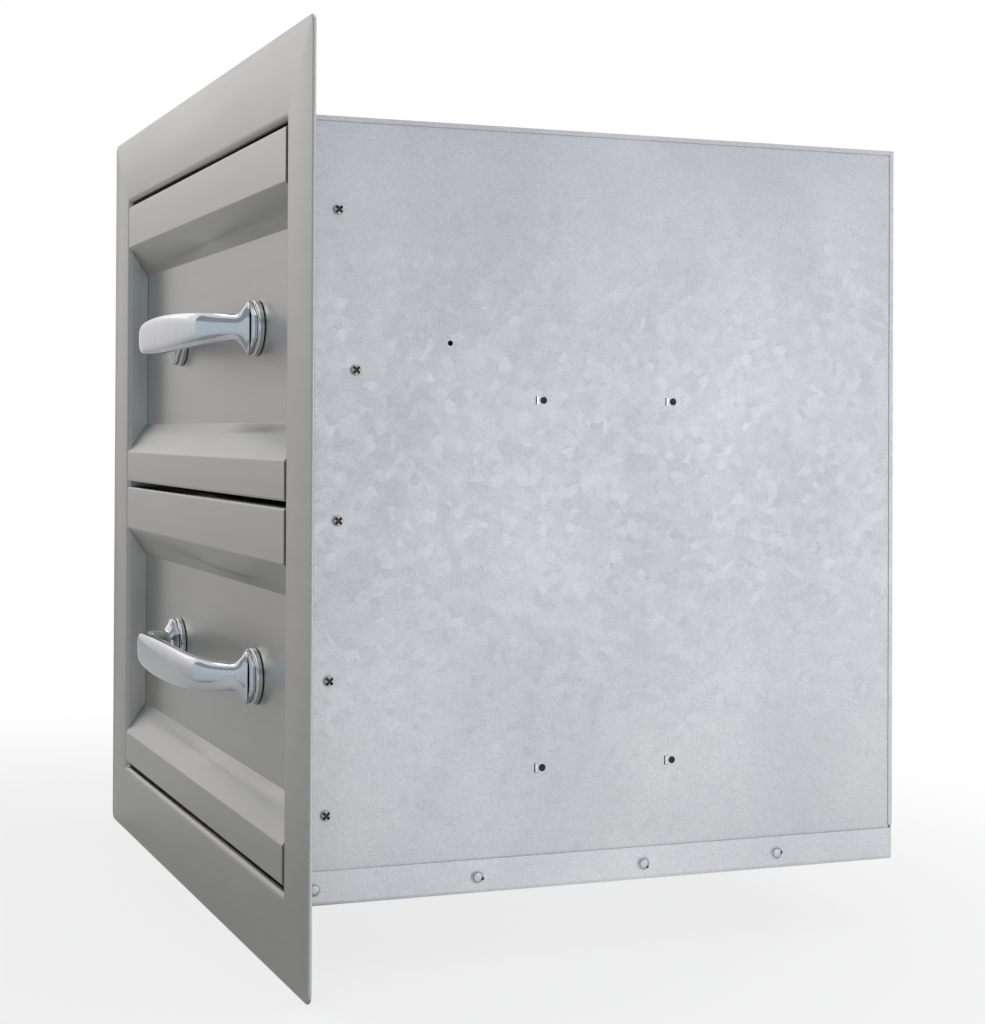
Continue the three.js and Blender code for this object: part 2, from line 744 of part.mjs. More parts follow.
// Handle: a bow of changing rounded section, flared into a six-sided foot at each end
function handle() {
  const apex = recessDepth - handleReach + gripThickness / 2;
  const half = handleCentres / 2;
  const bend = new THREE.CubicBezierCurve3(
    new THREE.Vector3(half, footFront - neckLength, 0),
    new THREE.Vector3(half, apex, 0),
    new THREE.Vector3(half * bowShoulderShare, apex, 0),
    new THREE.Vector3(0, apex, 0),
  );
  const stations = flareStationShares.map(({ along, spread }) => ({
    point: new THREE.Vector3(half, footFront + fitGap - (neckLength + fitGap) * along, 0),
    normal: new THREE.Vector3(1, 0, 0),
    height: neckHeight + (footHeight - neckHeight) * spread,
    width: neckThickness + (footWidth - neckThickness) * spread,
  }));
  for (let step = 0; step <= gripSteps; step += 1) {
    const share = step / gripSteps;
    const along = bend.getTangentAt(share);
    const swell = Math.sin((Math.PI / 2) * share);
    stations.push({
      point: bend.getPointAt(share),
      normal: new THREE.Vector3(-along.y, along.x, 0),
      height: neckHeight + (gripHeight - neckHeight) * swell,
      width: neckThickness + (gripThickness - neckThickness) * swell,
    });
  }
  const mirror = ({ point, normal, height, width }) => ({
    point: new THREE.Vector3(-point.x, point.y, point.z),
    normal: new THREE.Vector3(-normal.x, normal.y, 0),
    height,
    width,
  });
  const whole = [...stations, ...stations.slice(0, -1).reverse().map(mirror)];
  const bow = loft(whole.map(gripRing), false);
  const feet = [-1, 1].map((side) =>
    footPlate(hexOutline, footFront, footBack, footChamfer).translate([side * half, 0, 0]),
  );
  const depth = recessDepth + frameSheet + fitGap - handleScrewLength;
  const bore = handleScrewRadius + fitGap;
  const bores = [-1, 1].map((side) => {
    const at = (y) => new THREE.Vector3(side * half, y, 0);
    return rod(bore, bore, at(depth - fitGap), at(footBack + cutOverrun), holeSides);
  });
  return without(joined(bow, ...feet), ...bores);
}

// One section of the bow: a rounded rectangle, flatter than an ellipse
function gripRing({ point, normal, height, width }) {
  const rounded = (value) => Math.sign(value) * Math.abs(value) ** gripSquarenessShare;
  return Array.from({ length: gripSides }, (_, i) => {
    const angle = (2 * Math.PI * (i + 1 / 2)) / gripSides;
    const ring = point.clone().addScaledVector(normal, (width / 2) * rounded(Math.cos(angle)));
    ring.z += (height / 2) * rounded(Math.sin(angle));
    return ring;
  });
}

// A handle screw, its head behind the recessed panel
function handleScrew() {
  const seat = recessDepth + frameSheet + fitGap;
  const at = (y) => new THREE.Vector3(0, y, 0);
  const crown = seat + handleScrewHeadHeight;
  const tip = seat - handleScrewLength;
  return joined(
    rod(handleScrewHeadRadius, handleScrewHeadRadius / 2, at(seat), at(crown), screwSides),
    rod(handleScrewRadius, handleScrewRadius, at(tip), at(seat + handleScrewHeadHeight / 2), screwSides),
  );
}

function addPiece(group, name, solid, material, x = 0, z = 0) {
  const mesh = new THREE.Mesh(geometryFrom(solid), material);
  mesh.name = name;
  mesh.position.set(x, 0, z);
  group.add(mesh);
}

const sides = [["left", -1], ["right", 1]];

// The fixed cabinet: frame, box and the screws between them
function addCabinet(unit) {
  addPiece(unit, "face_frame", faceFrame(), brushedSteel);
  addPiece(unit, "top_panel", topPanel(), galvanised);
  addPiece(unit, "back_panel", backPanel(), galvanised);
  addPiece(unit, "bottom_tray", bottomTray(), galvanised);
  for (const [word, side] of sides) {
    addPiece(unit, `side_panel_${word}`, sidePanel(side), galvanised);
    frameScrewPlaces().forEach(([y, z], i) => {
      addPiece(unit, `frame_screw_${word}_${i + 1}`, frameScrew(side, y, z), darkScrew);
    });
  }
}

// One drawer with its front, box, handle and both telescopic slides
function drawer(level) {
  const group = new THREE.Group();
  addPiece(group, `${level}_drawer_front`, drawerFront(), brushedSteel);
  addPiece(group, `${level}_front_liner`, frontLiner(), drawerSteel);
  addPiece(group, `${level}_drawer_body`, drawerBody(), drawerSteel);
  addPiece(group, `${level}_drawer_back`, drawerBack(), drawerSteel);
  addPiece(group, `${level}_handle`, handle(), chrome, 0, handleRise);
  const sections = slideSections();
  for (const [word, side] of sides) {
    const x = (side * handleCentres) / 2;
    addPiece(group, `${level}_handle_rose_${word}`, handleRose(), chrome, x, handleRise);
    addPiece(group, `${level}_handle_gasket_${word}`, handleGasket(), gasketRubber, x, handleRise);
    addPiece(group, `${level}_handle_screw_${word}`, handleScrew(), slideZinc, x, handleRise);
    const addSlidePiece = (name, solid, material) =>
      addPiece(group, `${level}_${name}_${word}`, solid, material, 0, slideAxisHeight);
    addSlidePiece("slide_cabinet", cabinetMember(side), slideZinc);
    addSlidePiece("slide_middle", slideMember(side, sections.middle), slideZinc);
    addSlidePiece("slide_drawer", drawerMember(side), slideZinc);
    const outerCage = ballCage(side, sections.outerCage, sections.outerRace, outerBallReach);
    const innerCage = ballCage(side, sections.innerCage, sections.innerRace, innerBallReach);
    addSlidePiece("outer_cage", outerCage, cageBrass);
    addSlidePiece("inner_cage", innerCage, cageBrass);
  }
  return group;
}

const unit = new THREE.Group();
addCabinet(unit);
for (const [level, bottom] of [["lower", lowerFrontBottom], ["upper", upperFrontBottom]]) {
  const group = drawer(level);
  group.position.z = bottom;
  unit.add(group);
}
unit.position.set(0, -hemThickness, -flangeHeight / 2);

const drawerUnit = new THREE.Group();
drawerUnit.add(unit);

export default drawerUnit;
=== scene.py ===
import math

import bmesh
import bpy
from mathutils import Matrix, Vector


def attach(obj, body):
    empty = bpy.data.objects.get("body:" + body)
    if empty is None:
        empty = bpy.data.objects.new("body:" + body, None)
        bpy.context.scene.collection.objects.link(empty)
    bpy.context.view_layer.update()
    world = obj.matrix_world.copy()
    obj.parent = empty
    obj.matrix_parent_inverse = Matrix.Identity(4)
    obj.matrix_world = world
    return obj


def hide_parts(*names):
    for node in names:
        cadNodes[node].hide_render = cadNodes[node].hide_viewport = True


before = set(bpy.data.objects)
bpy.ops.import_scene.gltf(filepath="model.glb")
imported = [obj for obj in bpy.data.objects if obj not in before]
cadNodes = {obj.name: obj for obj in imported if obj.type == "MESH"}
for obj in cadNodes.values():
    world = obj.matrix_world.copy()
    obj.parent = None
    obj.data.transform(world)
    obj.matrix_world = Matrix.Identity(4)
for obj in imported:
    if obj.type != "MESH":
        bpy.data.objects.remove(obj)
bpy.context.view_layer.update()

origin = {"depth": 2.5, "height": 298.5}  # mm from the flange's front face and bottom edge
levels = {"lower": 59.3, "upper": 300.35}  # each front's bottom edge above the flange's, mm
sides = {"left": -1, "right": 1}


# making meshes
mmPerMetre = 1000
meshing = {"weld": 1e-7, "point": 1e-4, "bevelAngle": 38, "bevelSteps": 2, "turnSteps": 6}
boxFaces = [(0, 1, 3, 2), (4, 6, 7, 5), (0, 4, 5, 1), (2, 3, 7, 6), (0, 2, 6, 4), (1, 5, 7, 3)]


def place(x, y, z):
    # mm from the flange's front face and bottom edge, to metres in the frame
    return Vector((x, y - origin["depth"], z - origin["height"])) / mmPerMetre


def addObject(name, data):
    made = bpy.data.objects.new(name, data)
    bpy.context.scene.collection.objects.link(made)
    return made


def meshPiece(name, points, faces, materials, body, sharp=32.0, slots=(), bevel=0.0):
    # sharp is the angle from which an edge shows; slots gives each face its material
    mesh = bpy.data.meshes.new(name)
    mesh.from_pydata(points, [], faces)
    for material in materials:
        mesh.materials.append(material)
    shape = bmesh.new()
    shape.from_mesh(mesh)
    for face, slot in zip(shape.faces, slots):
        face.material_index = slot
    bmesh.ops.remove_doubles(shape, verts=shape.verts, dist=meshing["weld"])
    bmesh.ops.recalc_face_normals(shape, faces=shape.faces)
    for face in shape.faces:
        face.smooth = True
    for edge in shape.edges:
        edge.smooth = edge.calc_face_angle(0.0) < math.radians(sharp)
    shape.to_mesh(mesh)
    shape.free()
    piece = addObject(name, mesh)
    if bevel:
        rounding = piece.modifiers.new("roundEdges", "BEVEL")
        rounding.width = bevel / mmPerMetre
        rounding.segments = meshing["bevelSteps"]
        rounding.limit_method = "ANGLE"
        rounding.angle_limit = math.radians(meshing["bevelAngle"])
        rounding.harden_normals = True
    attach(piece, body)
    return piece


def quarterTurn(steps=meshing["turnSteps"]):
    return [math.pi / 2 * i / steps for i in range(steps + 1)]


def bentLine(corners, radius, steps):
    # the middle line of a folded sheet: rounded corners, each point with its left-hand normal
    points = [Vector(c) for c in corners]
    heading = [(points[i + 1] - points[i]).normalized() for i in range(len(points) - 1)]
    left = [Vector((-h.y, h.x)) for h in heading]
    line = [(points[0], left[0])]
    for i in range(1, len(points) - 1):
        before, after = heading[i - 1], heading[i]
        turn = math.atan2(before.x * after.y - before.y * after.x, before.dot(after))
        side = math.copysign(1, turn)
        start = points[i] - before * radius * math.tan(abs(turn) / 2)
        centre = start + left[i - 1] * side * radius
        for step in range(steps + 1):
            angle = turn * step / steps
            normal = Vector((
                left[i - 1].x * math.cos(angle) - left[i - 1].y * math.sin(angle),
                left[i - 1].x * math.sin(angle) + left[i - 1].y * math.cos(angle),
            ))
            line.append((centre - normal * side * radius, normal))
    line.append((points[-1], left[-1]))
    return line


def foldedSheet(corners, thickness, radius, start, end, toPoint, steps=meshing["turnSteps"]):
    # a sheet folded along the corners and run straight from start to end
    line = bentLine(corners, radius, steps)
    outer = [p + n * thickness / 2 for p, n in line]
    inner = [p - n * thickness / 2 for p, n in line]
    points = [toPoint(p.x, p.y, along) for along in (start, end) for p in outer + inner]
    count = len(line)
    last, far = count - 1, 2 * count
    faces = []
    for i in range(last):
        faces.append((i, i + 1, far + i + 1, far + i))
        faces.append((count + i, far + count + i, far + count + i + 1, count + i + 1))
    faces.append((0, far, far + count, count))
    faces.append((last, count + last, far + count + last, far + last))
    for i in range(last):
        faces.append((i, count + i, count + i + 1, i + 1))
        faces.append((far + i, far + i + 1, far + count + i + 1, far + count + i))
    return points, faces


def joinMeshes(*parts):
    # each part is its points, its faces and one material slot, or one slot for each face
    points, faces, slots = [], [], []
    for morePoints, moreFaces, slot in parts:
        base = len(points)
        points += morePoints
        faces += [tuple(base + i for i in face) for face in moreFaces]
        slots += slot if isinstance(slot, list) else [slot] * len(moreFaces)
    return points, faces, slots


def loftRings(rings, closed=False):
    # a skin over the rings, closed to a loop or with a cap at each end
    count = len(rings[0])
    points = [p for ring in rings for p in ring]
    faces = []
    for r in range(len(rings) if closed else len(rings) - 1):
        a, b = r * count, ((r + 1) % len(rings)) * count
        for i in range(count):
            j = (i + 1) % count
            faces.append((a + i, a + j, b + j, b + i))
    if not closed:
        faces.append(tuple(range(count - 1, -1, -1)))
        faces.append(tuple((len(rings) - 1) * count + i for i in range(count)))
    return points, faces


def boxMesh(xs, ys, zs, toPoint=place):
    return [toPoint(x, y, z) for x in xs for y in ys for z in zs], boxFaces


def roundedRing(rect, inset, radius, depth):
    left, right, bottom, top = rect
    reach = inset + radius
    corners = [
        (right - reach, top - reach), (left + reach, top - reach),
        (left + reach, bottom + reach), (right - reach, bottom + reach),
    ]
    steps = meshing["turnSteps"]
    ring = []
    for corner, (x, z) in enumerate(corners):
        for step in range(steps + 1):
            angle = math.pi / 2 * (corner + step / steps)
            ring.append(place(x + radius * math.cos(angle), depth, z + radius * math.sin(angle)))
    return ring


def lathe(profile, segments, toPoint, stretch=(1.0, 1.0)):
    # rings of radius and height round an axis; a radius of zero closes to a point
    rings = []
    for radius, height in profile:
        radius = max(radius, meshing["point"])
        rings.append([
            toPoint(
                stretch[0] * radius * math.cos(2 * math.pi * i / segments),
                stretch[1] * radius * math.sin(2 * math.pi * i / segments),
                height,
            )
            for i in range(segments)
        ])
    return loftRings(rings)


# finishes
def startMaterial(name, **values):
    material = bpy.data.materials.new(name)
    material.use_nodes = True
    nodes = material.node_tree.nodes
    shader = nodes["Principled BSDF"]
    for socket, value in values.items():
        shader.inputs[socket.replace("_", " ")].default_value = value
    return material, nodes, material.node_tree.links, shader


def surfaceNoise(nodes, links, scale, stretch=(1, 1, 1), detail=3.0, rough=0.5, kind="noise"):
    coordinates = nodes.new("ShaderNodeTexCoord")
    mapping = nodes.new("ShaderNodeMapping")
    mapping.inputs["Scale"].default_value = stretch
    links.new(coordinates.outputs["Object"], mapping.inputs["Vector"])
    if kind == "spangle":
        texture = nodes.new("ShaderNodeTexVoronoi")
        texture.feature = "F1"
        output = texture.outputs["Color"]
    else:
        texture = nodes.new("ShaderNodeTexNoise")
        texture.inputs["Detail"].default_value = detail
        texture.inputs["Roughness"].default_value = rough
        output = texture.outputs["Fac"]
    texture.inputs["Scale"].default_value = scale
    links.new(mapping.outputs["Vector"], texture.inputs["Vector"])
    return output


def ramp(nodes, links, source, stops):
    node = nodes.new("ShaderNodeValToRGB")
    elements = node.color_ramp.elements
    while len(elements) < len(stops):
        elements.new(0.5)
    for element, (position, colour) in zip(elements, stops):
        element.position = position
        element.color = (*colour, 1)
    links.new(source, node.inputs["Fac"])
    return node.outputs["Color"]


def twoTones(nodes, links, source, low, high, span=(0.3, 0.7)):
    # from the low colour to the high one over a span of the source's values
    return ramp(nodes, links, source, list(zip(span, (low, high))))


def mixColours(nodes, links, first, second, share, blend="MIX"):
    node = nodes.new("ShaderNodeMix")
    node.data_type = "RGBA"
    node.blend_type = blend
    if isinstance(share, float):
        node.inputs["Factor"].default_value = share
    else:
        links.new(share, node.inputs["Factor"])
    links.new(first, node.inputs["A"])
    links.new(second, node.inputs["B"])
    return node.outputs["Result"]


def combine(nodes, links, first, second, how):
    node = nodes.new("ShaderNodeMath")
    node.operation = how
    links.new(first, node.inputs[0])
    links.new(second, node.inputs[1])
    return node.outputs[0]


def rangeOf(nodes, links, source, low, high, start=0.0, end=1.0, smooth=False):
    # from low at the start to high at the end, and level beyond them
    node = nodes.new("ShaderNodeMapRange")
    node.interpolation_type = "SMOOTHSTEP" if smooth else "LINEAR"
    settings = {"From Min": start, "From Max": end, "To Min": low, "To Max": high}
    for socket, value in settings.items():
        node.inputs[socket].default_value = value
    links.new(source, node.inputs["Value"])
    return node.outputs["Result"]


def addBump(nodes, links, shader, source, strength, distance, before=None):
    bump = nodes.new("ShaderNodeBump")
    bump.inputs["Strength"].default_value = strength
    bump.inputs["Distance"].default_value = distance / mmPerMetre
    links.new(source, bump.inputs["Height"])
    if before:
        links.new(before, bump.inputs["Normal"])
    links.new(bump.outputs["Normal"], shader.inputs["Normal"])
    return bump.outputs["Normal"]


brushed = {
    "light": (0.50, 0.495, 0.47),
    "dark": (0.41, 0.405, 0.385),
    "roughness": (0.25, 0.576),
    "anisotropy": 0.8,
    "turned": {"x": 0.25, "y": 0.25, "z": 0.0},
    "grain": {"fineness": 900.0, "length": 22.0, "detail": (4.0, 0.65), "bump": (0.5, 0.012)},
    "streaks": {
        "fineness": 130.0, "stretch": 0.04, "detail": (2.0, 0.5), "span": (0.3, 0.72), "share": 0.4,
    },
    "clouds": {"fineness": 5.0, "detail": (3.0, 0.55), "share": 0.45},
}


def brushedSteel(name, along, values=brushed, tint=1.0):
    # rolled and brushed sheet: long grain, slow cloudiness, faint handling marks;
    # what it mirrors spreads across the grain
    material, nodes, links, shader = startMaterial(
        name, Metallic=1.0, Anisotropic=values["anisotropy"],
        Anisotropic_Rotation=values["turned"][along],
    )
    grainy, streaky, cloudy = values["grain"], values["streaks"], values["clouds"]
    stretch = [1.0, 1.0, 1.0]
    stretch["xyz".index(along)] = grainy["length"] / grainy["fineness"]
    grain = surfaceNoise(nodes, links, grainy["fineness"], stretch, *grainy["detail"])
    stretch["xyz".index(along)] = streaky["stretch"]
    streaks = surfaceNoise(nodes, links, streaky["fineness"], stretch, *streaky["detail"])
    clouds = surfaceNoise(nodes, links, cloudy["fineness"], (1, 1, 1), *cloudy["detail"])
    light = tuple(c * tint for c in values["light"])
    dark = tuple(c * tint for c in values["dark"])
    middle = tuple((a + b) / 2 for a, b in zip(light, dark))
    fine = twoTones(nodes, links, grain, dark, light)
    broad = twoTones(nodes, links, streaks, dark, light, streaky["span"])
    slow = twoTones(nodes, links, clouds, middle, light)
    colour = mixColours(nodes, links, fine, broad, streaky["share"])
    colour = mixColours(nodes, links, colour, slow, cloudy["share"])
    links.new(colour, shader.inputs["Base Color"])
    worn = combine(nodes, links, grain, clouds, "MULTIPLY")
    links.new(rangeOf(nodes, links, worn, *values["roughness"]), shader.inputs["Roughness"])
    addBump(nodes, links, shader, grain, *grainy["bump"])
    return material


galvanised = {
    "pale": (0.745, 0.74, 0.765),
    "grey": (0.60, 0.60, 0.63),
    "green": (0.60, 0.62, 0.61),
    "metallic": 0.72,
    "roughness": (0.42, 0.62),
    "crystal": {
        "fineness": 150.0, "share": 0.6,
        "tones": [(0.2, (0.86, 0.86, 0.87)), (0.8, (1.0, 1.0, 1.0))],
    },
    "speckleAndGlint": {
        "fineness": 1100.0, "share": 0.35, "bump": (0.15, 0.05),
        # cells above 1 brighten the colour as painted glints; the darker cells are tone
        "tones": [(0.12, (0.8, 0.8, 0.8)), (0.5, (1.0, 1.0, 1.0)), (0.93, (1.25, 1.25, 1.25))],
    },
    "mottle": {
        "fineness": 9.0, "stretch": (1, 1, 0.6), "detail": (5.0, 0.62), "span": (0.32, 0.66),
        "bump": (0.03, 0.15),
    },
    "clouds": {"fineness": 2.6, "detail": (2.0, 0.5), "span": (0.35, 0.65), "share": 0.4},
}


def galvanisedSheet(name, values=galvanised, tint=1.0):
    # zinc coat: crystals of slightly different grey, a broad mottle, and a fine speckle of darker
    # tone and painted glints
    material, nodes, links, shader = startMaterial(name, Metallic=values["metallic"])
    spots = {
        key: surfaceNoise(nodes, links, values[key]["fineness"], kind="spangle")
        for key in ("crystal", "speckleAndGlint")
    }
    mottled, cloudy = values["mottle"], values["clouds"]
    mottle = surfaceNoise(
        nodes, links, mottled["fineness"], mottled["stretch"], *mottled["detail"],
    )
    clouds = surfaceNoise(nodes, links, cloudy["fineness"], (1, 1, 1), *cloudy["detail"])
    pale, grey, green = (tuple(c * tint for c in values[key]) for key in ("pale", "grey", "green"))
    broad = twoTones(nodes, links, mottle, grey, pale, mottled["span"])
    tone = twoTones(nodes, links, clouds, green, pale, cloudy["span"])
    colour = mixColours(nodes, links, broad, tone, cloudy["share"])
    for key, source in spots.items():
        shades = ramp(nodes, links, source, values[key]["tones"])
        colour = mixColours(nodes, links, colour, shades, values[key]["share"], "MULTIPLY")
    links.new(colour, shader.inputs["Base Color"])
    roughness = rangeOf(nodes, links, spots["crystal"], *values["roughness"])
    links.new(roughness, shader.inputs["Roughness"])
    first = addBump(nodes, links, shader, mottle, *mottled["bump"])
    addBump(nodes, links, shader, spots["speckleAndGlint"], *values["speckleAndGlint"]["bump"], first)
    return material


plain = {"detail": (4.0, 0.6), "bumpStrength": 0.3}


def plainMetal(name, light, dark, roughness, fineness, metallic=1.0, bump=0.01, values=plain):
    # cast, plated or turned metal and rubber: fine variation of tone and roughness
    material, nodes, links, shader = startMaterial(name, Metallic=metallic)
    grain = surfaceNoise(nodes, links, fineness, (1, 1, 1), *values["detail"])
    links.new(twoTones(nodes, links, grain, dark, light), shader.inputs["Base Color"])
    links.new(rangeOf(nodes, links, grain, *roughness), shader.inputs["Roughness"])
    if bump:
        addBump(nodes, links, shader, grain, values["bumpStrength"], bump)
    return material


frameSteel = brushedSteel("brushedFrameSteel", "x")
frontSteel = brushedSteel("brushedFrontSteel", "x")
# the lip and the side returns get a lighter copy of the frame steel: painted light on the recess's
# side walls
lipSteelPaintedLighter = brushedSteel(
    "brushedLipSteelPaintedLighter", "z",
    dict(brushed, light=(0.60, 0.575, 0.545), dark=(0.50, 0.48, 0.455)),
)
# lighter, rougher steel on the hem's outside edge: the lighter colour is a painted highlight
hemSteelPaintedHighlight = brushedSteel(
    "hemSteelWithPaintedHighlight", "x",
    dict(brushed, light=(0.70, 0.70, 0.69), dark=(0.62, 0.62, 0.61), roughness=(0.42, 0.8)),
)
drawerSteel = brushedSteel("satinDrawerSteel", "y", tint=0.95)
zincSheet = galvanisedSheet("galvanisedSheet")
# the tray's zinc is painted 8 % lighter than the panels', standing in for light from below
trayZincPaintedLighter = galvanisedSheet("galvanisedTrayPaintedLighter", tint=1.08)
chrome = plainMetal(
    "polishedChrome", (0.74, 0.75, 0.76), (0.70, 0.71, 0.72), (0.03, 0.07), 60.0,
)
slideZinc = plainMetal(
    "brightZincPlate", (0.72, 0.74, 0.77), (0.58, 0.60, 0.64), (0.24, 0.4), 300.0,
)
cageStrip = plainMetal(
    "yellowPassivatedStrip", (0.55, 0.47, 0.27), (0.42, 0.36, 0.22), (0.3, 0.45), 350.0,
)
ballSteel = plainMetal(
    "polishedBallSteel", (0.80, 0.81, 0.82), (0.74, 0.75, 0.76), (0.05, 0.1), 400.0, bump=0.0,
)
screwSteel = plainMetal(
    "palePassivatedScrew", (0.60, 0.61, 0.58), (0.46, 0.47, 0.44), (0.4, 0.55), 700.0, 0.8,
)
# near-black finish in the screws' cross recesses: painted shade inside the recess
screwRecessShade = plainMetal(
    "screwRecessPaintedShade", (0.085, 0.08, 0.045), (0.03, 0.03, 0.02), (0.35, 0.6), 700.0, 0.5,
)
rivetAluminium = plainMetal(
    "rivetAluminium", (0.68, 0.69, 0.71), (0.60, 0.61, 0.63), (0.42, 0.55), 500.0, 0.75,
)
# near-black steel for the rivets' mandrel stubs and the slides' dark studs, also used as painted
# shade: the ring in each rivet's groove and the backs of the hooks
darkSteelAndPaintedShade = plainMetal(
    "darkSteelAndPaintedShade", (0.035, 0.035, 0.035), (0.015, 0.015, 0.015), (0.5, 0.7), 500.0, 0.2,
)
gasketRubber = plainMetal(
    "gasketRubber", (0.03, 0.03, 0.031), (0.018, 0.018, 0.019), (0.6, 0.8), 500.0, 0.0,
)
print("finishes ready")


# camera
camera = {
    "focal": 1821.4806,
    "centre": (331.4, 415.2),
    "frame": (985, 1024),
    "place": (1.317946, -0.343694, 0.047148),
    "yaw": 1.242105,
    "pitch": 0.008059,
    "roll": 0.005226,
    "sensor": 36,
    "nearest": 0.01,
}


def makeCamera(values=camera):
    yaw, pitch, roll = values["yaw"], values["pitch"], values["roll"]
    forward = Vector((
        -math.sin(yaw) * math.cos(pitch), math.cos(yaw) * math.cos(pitch), math.sin(pitch),
    ))
    right = Vector((math.cos(yaw), math.sin(yaw), 0))
    up = right.cross(forward)
    turnedRight = right * math.cos(roll) + up * math.sin(roll)
    turnedUp = up * math.cos(roll) - right * math.sin(roll)
    width, height = values["frame"]
    data = bpy.data.cameras.new("photoCamera")
    data.sensor_width = values["sensor"]
    data.lens = values["focal"] * values["sensor"] / height
    data.shift_x = (width / 2 - values["centre"][0]) / height
    data.shift_y = (values["centre"][1] - height / 2) / height
    data.clip_start = values["nearest"]
    holder = addObject("photoCamera", data)
    turned = Matrix((turnedRight, turnedUp, -forward)).transposed()
    holder.matrix_world = Matrix.Translation(values["place"]) @ turned.to_4x4()
    bpy.context.scene.camera = holder


makeCamera()


# face frame
faceFrame = {
    "flange": (-280.0, 280.0, 0.0, 597.0),
    "opening": (-227.0, 227.0, 55.1, 540.5),
    "sheet": 1.2,
    "hemThickness": 2.5,
    "hemWidth": 10.0,
    "hemSteps": 8,
    "cornerRadius": 6.0,
    "openingRadius": 2.5,
    "edgeRadius": 4.5,
    "lipDepth": 10.0,
    "returnDepth": 55.0,
    "returnRelief": 14.0,
    "returnOverlap": 0.01,
    "hemEdge": 0.8,  # faces this near the flange's edge get a lighter, rougher finish, a painted highlight along the hem's outside
    "lipStart": 0.1,  # the lip's lighter finish, painted light, starts this far before its bend ends
}


def frameRings(values):
    # round the folded section: hem, back of the flange, inside of the lip and its outside
    flange, opening, sheet = values["flange"], values["opening"], values["sheet"]
    corner, openCorner, edge = values["cornerRadius"], values["openingRadius"], values["edgeRadius"]
    hem, inner = values["hemThickness"] / 2, edge - sheet
    rings = []
    for step in range(values["hemSteps"] + 1):
        angle = math.pi * step / values["hemSteps"]
        depth = hem - hem * math.cos(angle)
        rings.append(roundedRing(flange, hem - hem * math.sin(angle), corner, depth))
    for depth in (2 * hem, sheet):
        rings.append(roundedRing(flange, values["hemWidth"], corner, depth))
    for a in quarterTurn():
        inset = -edge + inner * math.sin(a)
        rings.append(roundedRing(opening, inset, openCorner, edge - inner * math.cos(a)))
    for inset in (-sheet, 0):
        rings.append(roundedRing(opening, inset, openCorner, values["lipDepth"]))
    for a in quarterTurn():
        inset = -edge * (1 - math.cos(a))
        rings.append(roundedRing(opening, inset, openCorner, edge * (1 - math.sin(a))))
    return rings


def makeFaceFrame(values=faceFrame):
    flange, opening = values["flange"], values["opening"]
    parts = [(*loftRings(frameRings(values), closed=True), 0)]
    for side in sides.values():
        xs = sorted((side * opening[1], side * (opening[1] + values["sheet"])))
        ys = (values["lipDepth"] - values["returnOverlap"], values["returnDepth"])
        zs = (opening[2] + values["returnRelief"], opening[3] - values["returnRelief"])
        parts.append((*boxMesh(xs, ys, zs), 1))
    points, faces, slots = joinMeshes(*parts)
    lipFront = place(0, values["edgeRadius"] - values["lipStart"], 0).y
    low, high = place(flange[0], 0, flange[2]), place(flange[1], 0, flange[3])
    for i, face in enumerate(faces):
        corners = [points[n] for n in face]
        insets = [min(c.x - low.x, high.x - c.x, c.z - low.z, high.z - c.z) for c in corners]
        if max(insets) < values["hemEdge"] / mmPerMetre:
            slots[i] = 2
        elif min(c.y for c in corners) > lipFront:
            slots[i] = 1
    # slot 1 is the lighter lip steel, painted light; slot 2 is the lighter hem steel, a painted
    # highlight
    finish = [frameSteel, lipSteelPaintedLighter, hemSteelPaintedHighlight]
    piece = meshPiece("faceFramePanel", points, faces, finish, "cabinet", slots=slots)
    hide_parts("face_frame")


makeFaceFrame()
print("face frame made")


# drawer fronts
drawerFront = {
    "width": 451.4,
    "height": 236.95,
    "topRail": 35.0,
    "bottomRail": 25.2,
    "bevel": 24.2,
    "recess": 17.5,
    "returnDepth": 23.0,
    "sheet": 1.2,
    "bend": 1.6,
    "bendSteps": 8,
}


def frontCorners(values=drawerFront):
    skin, top = values["sheet"] / 2, values["height"]
    deep = values["recess"] + skin
    return [
        (values["returnDepth"], top - skin), (skin, top - skin), (skin, top - values["topRail"]),
        (deep, top - values["topRail"] - values["bevel"]),
        (deep, values["bottomRail"] + values["bevel"]),
        (skin, values["bottomRail"]), (skin, skin), (values["returnDepth"], skin),
    ]


def makeDrawerFront(level, bottom, values=drawerFront):
    half = values["width"] / 2
    points, faces = foldedSheet(
        frontCorners(values), values["sheet"], values["bend"], -half, half,
        lambda y, z, x: place(x, y, z + bottom), values["bendSteps"],
    )
    piece = meshPiece(f"{level}FrontSkin", points, faces, [frontSteel], f"{level}_drawer")
    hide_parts(f"{level}_drawer_front")


for level, bottom in levels.items():
    makeDrawerFront(level, bottom)
print("drawer fronts made")


# handles
handle = {
    "centres": 212.0,
    "rise": 115.575,
    "reach": 46.0,
    "grip": (28.0, 11.0),
    "neck": (19.0, 10.5),
    "neckLength": 8.0,
    "neckLean": 14.0,
    "neckPull": 18.0,
    "neckStations": [-1.2, 0.0, 0.6, 1.4, 2.4, 3.7, 5.2, 6.7],  # from the plate outwards
    "flare": {"length": 9.0, "spread": (0.92, 0.3), "power": 2.2},  # spread: share of the foot
    "shoulder": 0.9,
    "squareness": 0.68,  # 1 is an ellipse, less is nearer to a rectangle
    "stations": 40,
    "samples": 600,
    "ringPoints": 40,
    "bowSharp": 60,
    "foot": (38.8, 30.0, 3.0),
    "footFlat": 2.4,  # the plate's height over that of its upright sides
    "footChamfer": (1.6, 1.2),
    "footBackChamfer": 0.5,
    "footBevel": 0.5,
    "footSharp": 20,
    "rose": (38.8, 40.0, 3.6),
    "roseEdge": 1.4,
    "gasketLip": 0.1,
    "gasketDrop": 0.5,
    "gasketThickness": 0.5,
    "gasketEdge": 0.3,
    "segments": 48,
    "gap": 0.1,
}


